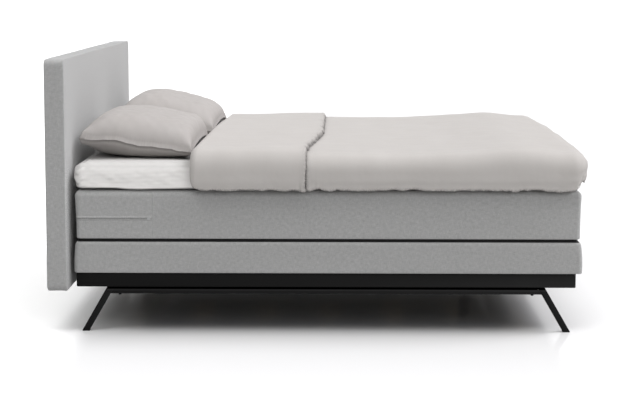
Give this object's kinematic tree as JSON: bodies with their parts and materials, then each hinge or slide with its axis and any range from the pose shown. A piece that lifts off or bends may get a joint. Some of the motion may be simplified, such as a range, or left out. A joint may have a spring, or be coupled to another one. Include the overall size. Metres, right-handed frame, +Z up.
{
  "type": "box spring bed",
  "caption": "Double box spring bed on a splayed black steel frame, with upholstered boxes, mattresses, topper, headboard and made-up bedding.",
  "frame": {"origin": "on the floor, in the middle of the bed's overall length and width", "axes": "+X from the headboard to the foot end, +Y away from the side with the near mattress's zip, +Z up"},
  "size_m": [2.1418, 1.9, 1.096],
  "materials": {
    "black_steel": "satin",
    "zinc_steel": "satin",
    "black_plastic": "matte",
    "black_lacquer": "satin",
    "timber": "matte",
    "grey_weave": "matte",
    "black_cloth": "matte",
    "spring_cloth": "matte",
    "foam": "matte",
    "white_sheet": "matte",
    "greige_cotton": "matte"
  },
  "bodies": {
    "base": {"rail_near": "black_steel", "rail_far": "black_steel", "cross_tube_head": "black_steel", "cross_tube_foot": "black_steel", "leg_head_near": "black_steel", "leg_head_far": "black_steel", "leg_foot_near": "black_steel", "leg_foot_far": "black_steel", "frame_bolt_head_near": "black_steel", "frame_bolt_head_far": "black_steel", "frame_bolt_foot_near": "black_steel", "frame_bolt_foot_far": "black_steel", "headboard_bracket_near": "black_steel", "headboard_bracket_far": "black_steel", "headboard_bolt_near": "zinc_steel", "headboard_bolt_far": "zinc_steel", "glide_head_near": "black_plastic", "glide_head_far": "black_plastic", "glide_foot_near": "black_plastic", "glide_foot_far": "black_plastic", "plinth_side_near": "black_lacquer", "plinth_side_far": "black_lacquer", "plinth_end_head": "black_lacquer", "plinth_end_foot": "black_lacquer", "centre_post_head": "black_lacquer", "centre_post_foot": "black_lacquer", "centre_beam": "timber", "box_tray_near": "timber", "box_tray_far": "timber", "headboard_panel": "timber", "box_cover_near": "grey_weave", "box_cover_far": "grey_weave", "headboard_cover": "grey_weave", "box_under_cloth_near": "black_cloth", "box_under_cloth_far": "black_cloth", "box_springs_near": "spring_cloth", "box_springs_far": "spring_cloth", "box_pad_near": "foam", "box_pad_far": "foam", "headboard_foam": "foam"},
    "mattresses": {"mattress_zip_near": "black_plastic", "mattress_zip_far": "black_plastic", "mattress_cover_near": "grey_weave", "mattress_cover_far": "grey_weave", "mattress_springs_near": "spring_cloth", "mattress_springs_far": "spring_cloth", "mattress_foam_top_near": "foam", "mattress_foam_top_far": "foam", "mattress_foam_bottom_near": "foam", "mattress_foam_bottom_far": "foam"},
    "topper": {"topper": "foam", "fitted_sheet": "white_sheet"},
    "duvet": {"duvet": "greige_cotton"},
    "pillow_near": {"pillow_near": "greige_cotton"},
    "pillow_far": {"pillow_far": "greige_cotton"},
    "zip_slider_near": {"zip_slider_near": "zinc_steel"},
    "zip_slider_far": {"zip_slider_far": "zinc_steel"},
    "post_foot_head": {"post_foot_head": "black_plastic"},
    "post_foot_foot": {"post_foot_foot": "black_plastic"}
  },
  "joints": [
    {"name": "mattresses_lift_off", "type": "slide", "parent": "base", "child": "mattresses", "axis": [0, 0, 1], "range_m": [0, 0.25]},
    {"name": "topper_lift_off", "type": "slide", "parent": "mattresses", "child": "topper", "axis": [0, 0, 1], "range_m": [0, 0.25]},
    {"name": "duvet_lift_off", "type": "slide", "parent": "topper", "child": "duvet", "axis": [0, 0, 1], "range_m": [0, 0.3]},
    {"name": "pillow_near_lift_off", "type": "slide", "parent": "topper", "child": "pillow_near", "axis": [0, 0, 1], "range_m": [0, 0.3]},
    {"name": "pillow_far_lift_off", "type": "slide", "parent": "topper", "child": "pillow_far", "axis": [0, 0, 1], "range_m": [0, 0.3]},
    {"name": "zip_near_slide", "type": "slide", "parent": "mattresses", "child": "zip_slider_near", "axis": [-1, 0, 0], "range_m": [0, 0.218]},
    {"name": "zip_far_slide", "type": "slide", "parent": "mattresses", "child": "zip_slider_far", "axis": [1, 0, 0], "range_m": [0, 0.218]},
    {"name": "post_foot_head_level", "type": "slide", "parent": "base", "child": "post_foot_head", "axis": [0, 0, 1], "range_m": [0, 0.015]},
    {"name": "post_foot_foot_level", "type": "slide", "parent": "base", "child": "post_foot_foot", "axis": [0, 0, 1], "range_m": [0, 0.015]}
  ]
}
